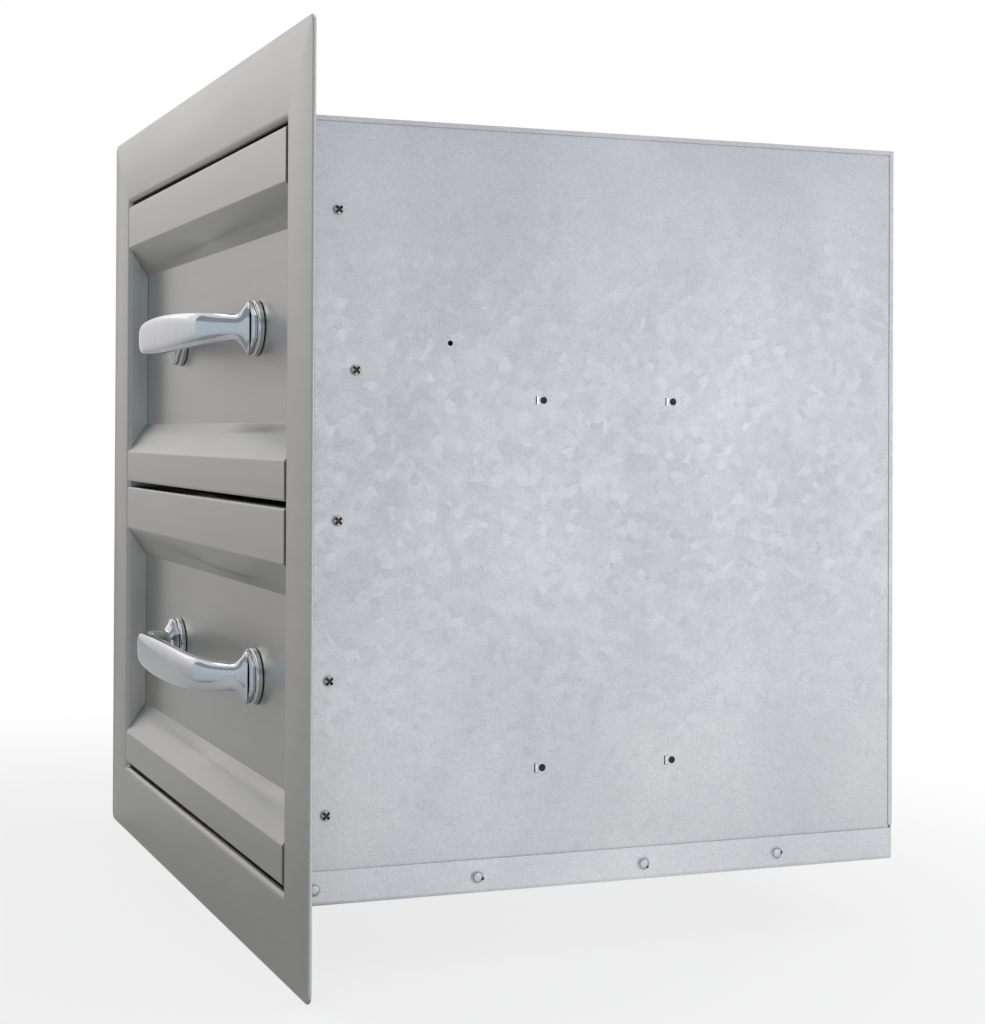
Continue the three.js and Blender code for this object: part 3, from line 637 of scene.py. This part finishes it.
def handleDepths(values=handle):
    # backs of the gasket, the rose and the foot's plate, and the plate's front
    gasketBack = drawerFront["recess"] - values["gap"]
    roseBack = gasketBack - values["gasketThickness"] - values["gap"]
    footBack = roseBack - values["rose"][2] - values["gap"]
    return gasketBack, roseBack, footBack, footBack - values["foot"][2]


def gripRing(centre, normal, height, width, lift, values=handle):
    # a section of the bow, between an ellipse and a rectangle
    bent = lambda v: math.copysign(abs(v) ** values["squareness"], v)
    ring = []
    for i in range(values["ringPoints"]):
        angle = 2 * math.pi * (i + 0.5) / values["ringPoints"]
        across = normal * (width / 2 * bent(math.cos(angle)))
        z = lift + height / 2 * bent(math.sin(angle))
        ring.append(place(centre.x + across.x, centre.y + across.y, z))
    return ring


def curvePoint(controls, t):
    # place and heading on a cubic curve
    a, b, c, d = controls
    u = 1 - t
    at = a * u**3 + b * 3 * u * u * t + c * 3 * u * t * t + d * t**3
    to = (b - a) * u * u + (c - b) * 2 * u * t + (d - c) * t * t
    return at, to.normalized()


def bowSize(distance, swell, values=handle):
    # height and thickness of the bow: it widens to the grip, and like a trumpet to the foot
    flare = values["flare"]
    near = min(1.0, max(0.0, 1 - distance / flare["length"])) ** flare["power"]
    both = zip(values["neck"], values["grip"], values["foot"], flare["spread"])
    return [n + (g - n) * swell + (f - n) * spread * near for n, g, f, spread in both]


def bowStations(values=handle):
    # centre, normal and size of each section from the right foot to the middle of the grip
    half, footFront = values["centres"] / 2, handleDepths()[3]
    apex = drawerFront["recess"] - values["reach"] + values["grip"][1] / 2
    lean = math.radians(values["neckLean"])
    outwards = Vector((-math.sin(lean), -math.cos(lean)))
    across = Vector((math.cos(lean), -math.sin(lean)))
    root = Vector((half, footFront + values["gap"]))
    stations = [(root + outwards * d, across, *bowSize(d, 0)) for d in values["neckStations"]]
    neckEnd = Vector((half, footFront)) + outwards * values["neckLength"]
    controls = [
        neckEnd, neckEnd + outwards * values["neckPull"],
        Vector((half * values["shoulder"], apex)), Vector((0, apex)),
    ]
    last = values["samples"]
    samples = [curvePoint(controls, step / last) for step in range(last + 1)]
    lengths = [0.0]
    for (a, _), (b, _) in zip(samples, samples[1:]):
        lengths.append(lengths[-1] + (b - a).length)
    for step in range(values["stations"] + 1):
        share = step / values["stations"]
        wanted = share * lengths[-1]
        at, to = samples[min(range(last + 1), key=lambda i: abs(lengths[i] - wanted))]
        size = bowSize(values["neckLength"] + wanted, math.sin(math.pi / 2 * share))
        stations.append((at, Vector((-to.y, to.x)), *size))
    return stations


def makeBow(level, bottom, values=handle):
    lift = bottom + values["rise"]
    half = bowStations()
    mirrored = [(Vector((-c.x, c.y)), Vector((-n.x, n.y)), h, w) for c, n, h, w in half[:-1]]
    rings = [gripRing(c, n, h, w, lift) for c, n, h, w in half + mirrored[::-1]]
    body = f"{level}_drawer"
    piece = meshPiece(f"{level}HandleBow", *loftRings(rings), [chrome], body, values["bowSharp"])
    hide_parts(f"{level}_handle")


def onPanel(side, bottom, drop=0.0, values=handle):
    # from beside and along the axis of a foot to a place on the recessed panel
    x0, z0 = sides[side] * values["centres"] / 2, bottom + values["rise"]
    return lambda u, v, y: place(x0 + u, y, z0 + v - drop)


def hexRing(toPoint, shrink, depth, values=handle):
    # a pointed plate: a hexagon that stands on its tip
    tip, width = (size / 2 - shrink for size in values["foot"][:2])
    flat = tip / values["footFlat"]
    corners = [(0, tip), (-width, flat), (-width, -flat), (0, -tip), (width, -flat), (width, flat)]
    return [toPoint(x, z, depth) for x, z in corners]


def makeFootPlate(level, side, bottom, values=handle):
    back, front = handleDepths()[2:]
    inset, rise = values["footChamfer"]
    behind = values["footBackChamfer"]
    layers = [(inset, front), (0, front + rise), (0, back - behind), (behind, back)]
    rings = [hexRing(onPanel(side, bottom), shrink, depth) for shrink, depth in layers]
    plate = meshPiece(
        f"{level}HandleFoot_{side}", *loftRings(rings), [chrome], f"{level}_drawer",
        values["footSharp"], bevel=values["footBevel"],
    )


def makeRose(level, side, bottom, values=handle):
    tall, wide, thick = values["rose"]
    back, edge, rim = handleDepths()[1], values["roseEdge"], wide / 2
    front = back - thick
    profile = [(0, front), (rim - edge, front)]
    for a in quarterTurn():
        profile.append((rim - edge + edge * math.sin(a), front + edge - edge * math.cos(a)))
    profile += [(rim, back), (0, back)]
    turned = lathe(profile, values["segments"], onPanel(side, bottom), (1, tall / wide))
    base = meshPiece(f"{level}HandleRose_{side}", *turned, [chrome], f"{level}_drawer")
    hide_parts(f"{level}_handle_rose_{side}")


def makeGasket(level, side, bottom, values=handle):
    # a thin ring under the rose that shows a little below it
    tall, wide = values["rose"][:2]
    lip, edge = wide / 2 + values["gasketLip"], values["gasketEdge"]
    stretch = (1, (tall / 2 + values["gasketLip"] - values["gasketDrop"]) / lip)
    back = handleDepths()[0]
    front = back - values["gasketThickness"]
    profile = [(0, front), (lip - edge, front), (lip, front + edge), (lip, back), (0, back)]
    lowered = onPanel(side, bottom, values["gasketDrop"])
    turned = lathe(profile, values["segments"], lowered, stretch)
    gasket = meshPiece(f"{level}HandleGasket_{side}", *turned, [gasketRubber], f"{level}_drawer")
    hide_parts(f"{level}_handle_gasket_{side}")


for level, bottom in levels.items():
    makeBow(level, bottom)
    for side in sides:
        makeFootPlate(level, side, bottom)
        makeRose(level, side, bottom)
        makeGasket(level, side, bottom)
print("handles made")


# screws and rivets
screws = {
    "places": [(27.5, 102.67), (29.15, 187.13), (34.65, 288.09), (46.2, 383.72), (34.1, 485.16)],
    "radius": 3.4,
    "height": 1.7,
    "seat": 229.8,
    "edgeShare": 0.3,
    "crownSteps": 12,
    "crownMiddle": 0.1,
    "armWidth": 0.2,
    "armReach": 0.8,
    "armDepth": 0.6,
    "segments": 48,
    "shank": [(0, 221.9), (0.9, 221.9), (1.8, 224.5), (1.8, 230.2), (0, 230.2)],
    "shankSegments": 16,
    "sharp": 40,
}
rivets = {
    "places": [19.67, 130.97, 251.66, 354.02],
    "height": 57.0,
    "face": 230.8,
    "skirt": [(0, 0.0), (4.75, 0.0), (4.7, 0.06), (3.4, 0.84)],
    "dome": [(3.0, 0.96), (2.4, 1.34), (1.2, 1.43), (0, 1.45)],
    "segments": 40,
    "mandrel": [(0, 0.02), (1.2, 0.02), (1.2, 0.95), (0.9, 1.1), (0, 1.06)],
    "mandrelShift": [(1.4, -0.3), (3.3, -1.3), (2.3, -2.2), (3.2, 0.1)],
    "mandrelSegments": 20,
    "sharp": 35,
}


def crossHead(sign, y, z, values=screws):
    # pan head with a cross recess pressed into its crown, its arms turned by an eighth
    radius, height, edge = values["radius"], values["height"], values["edgeShare"]
    segments = values["segments"]
    profile = [(radius, 0), (radius, height * edge)]
    for a in quarterTurn(values["crownSteps"])[1:-1]:
        profile.append((radius * math.cos(a), height * (edge + (1 - edge) * math.sin(a))))
    profile.append((radius * values["crownMiddle"], height))
    rings, sunk = [], []
    for ringRadius, rise in profile:
        ring = []
        for i in range(segments):
            angle = 2 * math.pi * i / segments
            acrossArm = ringRadius * abs(math.sin((angle % (math.pi / 2)) - math.pi / 4))
            inArm = acrossArm < radius * values["armWidth"]
            low = (inArm and ringRadius < radius * values["armReach"]) or rise == height
            x = sign * (values["seat"] + rise - (height * values["armDepth"] if low else 0))
            across, up = ringRadius * math.cos(angle), ringRadius * math.sin(angle)
            ring.append(place(x, y + across, z + up))
            sunk.append(low)
        rings.append(ring)
    points, faces = loftRings(rings)
    # faces of the sunk recess and of the crown's middle take slot 1, the dark painted-shade finish
    return points, faces, [int(any(sunk[n] for n in face)) for face in faces]


def makeScrews(values=screws):
    for side, sign in sides.items():
        for i, (y, z) in enumerate(values["places"]):
            toShank = lambda u, v, x: place(sign * x, y + u, z + v)
            shank = lathe(values["shank"], values["shankSegments"], toShank)
            points, faces, slots = joinMeshes(crossHead(sign, y, z), (*shank, 0))
            finish = [screwSteel, screwRecessShade]
            name = f"frameScrew_{side}_{i + 1}"
            piece = meshPiece(name, points, faces, finish, "cabinet", values["sharp"], slots)
            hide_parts(f"frame_screw_{side}_{i + 1}")


def makeRivets(values=rivets):
    # low dome on a wide skirt, a dark ring of painted shade in the groove between them, and the
    # stub of the mandrel at its edge
    profile, segments = values["skirt"] + values["dome"], values["segments"]
    paintedShadeRing = len(values["skirt"]) - 1
    headSlots = [int(n // segments == paintedShadeRing) for n in range(segments * (len(profile) - 1))] + [0, 0]
    for side, sign in sides.items():
        for i, (y, shift) in enumerate(zip(values["places"], values["mandrelShift"])):
            def toFace(u, v, x, dy=0.0, dz=0.0):
                return place(sign * (values["face"] + x), y + u + dy, values["height"] + v + dz)
            head = lathe(profile, segments, toFace)
            shifted = lambda u, v, x: toFace(u, v, x, *shift)
            mandrel = lathe(values["mandrel"], values["mandrelSegments"], shifted)
            points, faces, slots = joinMeshes((*head, headSlots), (*mandrel, 1))
            finish = [rivetAluminium, darkSteelAndPaintedShade]
            name = f"trayRivet_{side}_{i + 1}"
            piece = meshPiece(name, points, faces, finish, "cabinet", values["sharp"], slots)


makeScrews()
makeRivets()
print("screws and rivets made")


# telescopic slides
slides = {
    "panel": 228.5,
    "thickness": 12.7,
    "length": 350.0,
    "setback": 60.0,
    "axisHeight": 65.4,
    "height": 35.0,
    "sheet": 1.2,
    "bend": 1.0,
    "gap": 0.3,
    "lips": {"cabinet": -1.6, "middle": -1.4, "drawer": 1.2},
    "lipInset": 0.8,
    "drawerReach": 5.8,
    "cageSheet": 0.6,
    "cageBend": 0.8,
    "cageBendSteps": 5,
    "cageLength": 168.0,
    "cageStart": 151.0,
    "cageReach": {"outer": 9.2, "inner": 10.0},
    "ball": 3.4,
    "ballReach": {"outer": 6.5, "inner": 8.0},
    "ballsPerRow": 12,
    "ballSteps": 8,
    "ballSegments": 14,
    "cageSharp": 40,
}
mounting = {  # what shows of each slide in the side panel's holes and slits
    "places": (177.5, 273.5),
    "stud": [(0, 0.5), (2.2, 0.5), (2.2, -0.6), (1.5, -1.0), (0.9, -0.7), (0, -0.7)],
    "studSegments": 20,
    "hookOffset": 4.6,
    "hookRoot": 0.5,
    "hookHalfHeight": 2.7,
    "hookShade": {"along": (-1.15, -0.2), "reach": -0.8},
    "hookTip": {"along": (-0.2, 1.15), "reach": -0.9},
}


def slideSections(values=slides):
    # corners of each member's section, and where the cages' webs and the rows of balls lie
    half, gap, cageHalf = values["sheet"] / 2, values["gap"], values["cageSheet"] / 2
    race = values["ball"] + 2 * gap
    flange = {"cabinet": values["height"] / 2 - half}
    flange["middle"] = flange["cabinet"] - values["sheet"] - race
    flange["drawer"] = flange["middle"] - values["sheet"] - race
    web = {"cabinet": gap + half}
    cage = {"outer": web["cabinet"] + half + gap + cageHalf}
    web["middle"] = cage["outer"] + cageHalf + gap + half
    cage["inner"] = web["middle"] + half + gap + cageHalf
    web["drawer"] = values["thickness"] - gap - half
    lipReach = values["thickness"] - values["lipInset"] - half
    reach = {"cabinet": lipReach, "middle": lipReach, "drawer": values["drawerReach"]}
    sections = {}
    for member, lip in values["lips"].items():
        f, r, w = flange[member], reach[member], web[member]
        sections[member] = [(r, f + lip), (r, f), (w, f), (w, -f), (r, -f), (r, -f - lip)]
    races = {
        "outer": flange["cabinet"] - half - race / 2, "inner": flange["middle"] - half - race / 2,
    }
    return sections, cage, races


def mountingParts(toPoint, values=mounting):
    # dark studs, and the hooks' backs painted dark as shade, then the hooks' bright tips
    studs, tips = [], []
    for along in values["places"]:
        atStud = lambda u, v, h: toPoint(h, v, along + u)
        studs.append((*lathe(values["stud"], values["studSegments"], atStud), 1))
        front, tall = along - values["hookOffset"], values["hookHalfHeight"]
        atHook = lambda u, y, v: toPoint(u, v, front + y)
        for part, slot, goal in (("hookShade", 1, studs), ("hookTip", 0, tips)):
            depths = (values["hookRoot"], values[part]["reach"])
            goal.append((*boxMesh(depths, values[part]["along"], (-tall, tall), atHook), slot))
    return studs + tips


def makeMembers(level, side, toPoint, values=slides):
    bodies = {
        "cabinet": "cabinet", "middle": f"{level}_slide_middle_{side}", "drawer": f"{level}_drawer",
    }
    start, end = values["setback"], values["setback"] + values["length"]
    for member, corners in slideSections()[0].items():
        sheet = foldedSheet(corners, values["sheet"], values["bend"], start, end, toPoint)
        more = mountingParts(toPoint) if member == "cabinet" else []
        points, faces, slots = joinMeshes((*sheet, 0), *more)
        name = f"{level}Slide_{member}_{side}"
        finish = [slideZinc, darkSteelAndPaintedShade]
        piece = meshPiece(name, points, faces, finish, bodies[member], slots=slots)
        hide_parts(f"{level}_slide_{member}_{side}")


def makeCages(level, side, toPoint, values=slides):
    _, webs, races = slideSections()
    first, last = values["cageStart"], values["cageStart"] + values["cageLength"]
    pitch = values["cageLength"] / values["ballsPerRow"]
    radius, steps = values["ball"] / 2, values["ballSteps"]
    turns = [math.pi * k / steps for k in range(steps + 1)]
    arc = [(radius * math.sin(turn), -radius * math.cos(turn)) for turn in turns]
    for cage, web in webs.items():
        reach, race = values["cageReach"][cage], races[cage]
        corners = [(reach, race), (web, race), (web, -race), (reach, -race)]
        sheet, bend = values["cageSheet"], values["cageBend"]
        strip = foldedSheet(corners, sheet, bend, first, last, toPoint, values["cageBendSteps"])
        parts = [(*strip, 0)]
        for z in (-race, race):
            for i in range(values["ballsPerRow"]):
                y, x = first + pitch * (i + 0.5), values["ballReach"][cage]
                aroundBall = lambda u, v, h: toPoint(x + u, z + v, y + h)
                parts.append((*lathe(arc, values["ballSegments"], aroundBall), 1))
        points, faces, slots = joinMeshes(*parts)
        body = f"{level}_{cage}_cage_{side}"
        name, finish = f"{level}BallCage_{cage}_{side}", [cageStrip, ballSteel]
        piece = meshPiece(name, points, faces, finish, body, values["cageSharp"], slots)
        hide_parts(body)


def makeSlide(level, bottom, side, values=slides):
    sign, axis = sides[side], bottom + values["axisHeight"]
    toPoint = lambda u, v, y: place(sign * (values["panel"] - u), y, axis + v)
    makeMembers(level, side, toPoint)
    makeCages(level, side, toPoint)


for level, bottom in levels.items():
    for side in sides:
        makeSlide(level, bottom, side)
print("slides made")


# finishes of the carried-over pieces, and the seams between the sheets
seams = {
    "panelFaces": (228.6, 229.84),
    "fromFront": (5.2, 448.3),
    "rear": 445.3,
    "top": (541.3, 544.3),
    "bottom": 70.0,
}


def finishNode(name, material):
    for slot in cadNodes[name].material_slots:
        slot.material = material


def makeSeams(values=seams):
    # strips that close the line between a side panel and the top and back panels
    front, back = values["fromFront"]
    under, over = values["top"]
    rear, bottom = values["rear"], values["bottom"]
    bend = [
        (front, over), (back, over), (back, bottom),
        (rear, bottom), (rear, under), (front, under),
    ]
    for side, sign in sides.items():
        xs = sorted(sign * x for x in values["panelFaces"])
        rings = [[place(x, y, z) for y, z in bend] for x in xs]
        piece = meshPiece(f"panelSeam_{side}", *loftRings(rings), [zincSheet], "cabinet")


makeSeams()
for name in ("top_panel", "back_panel", "side_panel_left", "side_panel_right"):
    finishNode(name, zincSheet)
finishNode("bottom_tray", trayZincPaintedLighter)
for level in levels:
    for name in ("front_liner", "drawer_body", "drawer_back"):
        finishNode(f"{level}_{name}", drawerSteel)
    for side in sides:
        finishNode(f"{level}_handle_screw_{side}", slideZinc)


# room and light
room = {
    "floorHeight": -0.2995,
    "floorSize": 12.0,
    "floorFront": -0.6,
    "floorColour": (0.53, 0.53, 0.525),
    "floorGlow": (0.78, 1.0),
    "glowFrom": (0.45, 1.0),
    "across": (0.149, 0.989, 0.0),  # along this the floor turns white in metal
    "acrossRange": (-0.33, 0.67),
    "shownInMetal": [(0.0, 0.0), (0.19, 0.04), (0.36, 0.12), (0.55, 1.0)],
    "boardSteps": 8,
    "boardRoughness": 0.9,
    "boardGrain": {"fineness": 6.0, "detail": (2.0, 0.5), "lighter": 1.01},
    "white": (1, 1, 1, 1),
    "backdrop": {
        "centre": (-3.0, 2.75, 1.2), "width": 5.2, "height": 3.4, "turn": 70.9,
        "colour": (0.85, 0.85, 0.85),
    },
    "leftWorld": [
        (0.0, (0.20, 0.20, 0.20)), (0.36, (0.25, 0.25, 0.25)), (0.45, (0.50, 0.49, 0.49)),
        (0.49, (0.64, 0.63, 0.64)), (0.56, (0.80, 0.79, 0.80)), (0.61, (1.0, 0.99, 1.0)),
        (0.72, (1.0, 1.0, 1.0)), (1.0, (0.80, 0.80, 0.80)),
    ],
    "rightWorld": [
        (0.0, (0.20, 0.21, 0.22)), (0.38, (0.23, 0.26, 0.28)), (0.42, (0.46, 0.52, 0.56)),
        (0.5, (0.52, 0.62, 0.70)), (0.585, (0.54, 0.64, 0.72)), (0.605, (0.22, 0.28, 0.35)),
        (0.76, (0.24, 0.29, 0.34)), (0.82, (0.90, 0.91, 0.92)), (1.0, (0.88, 0.88, 0.88)),
    ],
    "rightSide": (0.743, -0.669, 0.0),
    "rightBlend": (-0.05, 0.05),
    "worldStrength": 0.9,
    "whiteInMetal": 0.08,
}
lamps = {
    "left": {"place": (-2.4, -0.80, 1.15), "aim": (0, 0.0, 0.1), "size": (1.1, 0.9), "power": 0.9},
    "right": {"place": (2.7, 1.6, 0.06), "aim": (0, 0.2, -0.2), "size": (2.4, 0.66), "power": 10.6},
    "above": {"place": (0.2, 0.1, 2.6), "aim": (0, 0.1, 0), "size": (2.2, 2.2), "power": 16.0},
}


def towards(nodes, links, direction, source):
    # how far a place or a direction lies along a fixed one
    node = nodes.new("ShaderNodeVectorMath")
    node.operation = "DOT_PRODUCT"
    links.new(source, node.inputs[0])
    node.inputs[1].default_value = direction
    return node.outputs["Value"]


def seenRays(nodes, links):
    # what the camera sees straight on, and what it sees in metal or through glass
    rays = nodes.new("ShaderNodeLightPath").outputs
    mirrored = combine(nodes, links, rays["Is Glossy Ray"], rays["Is Transmission Ray"], "MAXIMUM")
    return rays["Is Camera Ray"], mirrored


def mixShaders(nodes, links, first, second, share, output):
    mix = nodes.new("ShaderNodeMixShader")
    links.new(share, mix.inputs["Fac"])
    links.new(first, mix.inputs[1])
    links.new(second, mix.inputs[2])
    links.new(mix.outputs["Shader"], nodes[output].inputs["Surface"])


def paleMaterial(name, tone, isFloor=False, values=room):
    # matt board that is white to the camera and in metal; the floor is less so near the unit,
    # and metal sees it mostly where it lies behind the unit
    material, nodes, links, shader = startMaterial(name, Roughness=values["boardRoughness"])
    grainy = values["boardGrain"]
    grain = surfaceNoise(nodes, links, grainy["fineness"], (1, 1, 1), *grainy["detail"])
    lighter = tuple(c * grainy["lighter"] for c in tone)
    links.new(twoTones(nodes, links, grain, tone, lighter), shader.inputs["Base Color"])
    white = nodes.new("ShaderNodeEmission")
    white.inputs["Color"].default_value = values["white"]
    direct, mirrored = seenRays(nodes, links)
    if isFloor:
        spot = nodes.new("ShaderNodeTexCoord").outputs["Object"]
        distance = nodes.new("ShaderNodeVectorMath")
        distance.operation = "LENGTH"
        links.new(spot, distance.inputs[0])
        away = distance.outputs["Value"]
        glow = rangeOf(nodes, links, away, *values["floorGlow"], *values["glowFrom"], True)
        along = towards(nodes, links, values["across"], spot)
        behind = rangeOf(nodes, links, along, 0.0, 1.0, *values["acrossRange"])
        reach = ramp(nodes, links, behind, [(p, (v, v, v)) for p, v in values["shownInMetal"]])
        mirrored = combine(nodes, links, mirrored, reach, "MULTIPLY")
        direct = combine(nodes, links, glow, direct, "MULTIPLY")
        mirrored = combine(nodes, links, glow, mirrored, "MULTIPLY")
    share = combine(nodes, links, direct, mirrored, "MAXIMUM")
    matt, bright = shader.outputs["BSDF"], white.outputs["Emission"]
    mixShaders(nodes, links, matt, bright, share, "Material Output")
    return material


def makeBoard(name, centre, across, up, material, steps=room["boardSteps"]):
    row = range(steps + 1)
    count = steps + 1
    points = [
        centre + across * (2 * c / steps - 1) + up * (2 * r / steps - 1) for r in row for c in row
    ]
    corners = [r * count + c for r in range(steps) for c in range(steps)]
    faces = [(n, n + 1, n + count + 1, n + count) for n in corners]
    mesh = bpy.data.meshes.new(name)
    mesh.from_pydata(points, [], faces)
    mesh.materials.append(material)
    addObject(name, mesh)


def makeWorld(values=room):
    # plain white to the camera; metal sees a room that is darker below and cooler to the right
    world = bpy.data.worlds.new("studioWorld")
    bpy.context.scene.world = world
    world.use_nodes = True
    nodes, links = world.node_tree.nodes, world.node_tree.links
    background = nodes["Background"]
    direction = nodes.new("ShaderNodeTexCoord").outputs["Generated"]
    height = rangeOf(nodes, links, towards(nodes, links, (0, 0, 1), direction), 0.0, 1.0, -1.0, 1.0)
    left, right = (ramp(nodes, links, height, values[key]) for key in ("leftWorld", "rightWorld"))
    along = towards(nodes, links, values["rightSide"], direction)
    turned = rangeOf(nodes, links, along, 0.0, 1.0, *values["rightBlend"], True)
    links.new(mixColours(nodes, links, left, right, turned), background.inputs["Color"])
    background.inputs["Strength"].default_value = values["worldStrength"]
    white = nodes.new("ShaderNodeBackground")
    white.inputs["Color"].default_value = values["white"]
    direct, mirrored = seenRays(nodes, links)
    inMetal = rangeOf(nodes, links, mirrored, 0.0, values["whiteInMetal"])
    share = combine(nodes, links, direct, inMetal, "MAXIMUM")
    dim, bright = background.outputs["Background"], white.outputs["Background"]
    mixShaders(nodes, links, dim, bright, share, "World Output")


def makeRoom(values=room):
    half = values["floorSize"] / 2
    floorCentre = Vector((0, values["floorFront"] + half, values["floorHeight"]))
    paleFloor = paleMaterial("paleFloor", values["floorColour"], True)
    makeBoard("studioFloor", floorCentre, Vector((half, 0, 0)), Vector((0, half, 0)), paleFloor)
    back = values["backdrop"]
    turn = math.radians(back["turn"])
    across = Vector((math.cos(turn), math.sin(turn), 0)) * back["width"] / 2
    up = Vector((0, 0, back["height"] / 2))
    whiteBackdrop = paleMaterial("whiteBackdrop", back["colour"])
    makeBoard("studioBackdrop", Vector(back["centre"]), across, up, whiteBackdrop)
    makeWorld()


def makeLamps(lampList=lamps):
    for name, values in lampList.items():
        data = bpy.data.lights.new(f"{name}Lamp", "AREA")
        data.shape = "RECTANGLE"
        data.size, data.size_y = values["size"]
        data.energy = values["power"]
        lamp = addObject(f"{name}Lamp", data)
        lamp.location = values["place"]
        aim = Vector(values["aim"]) - Vector(values["place"])
        lamp.rotation_euler = aim.to_track_quat("-Z", "Y").to_euler()


makeRoom()
makeLamps()
bpy.context.scene.view_settings.view_transform = "Standard"
print("room and light ready")
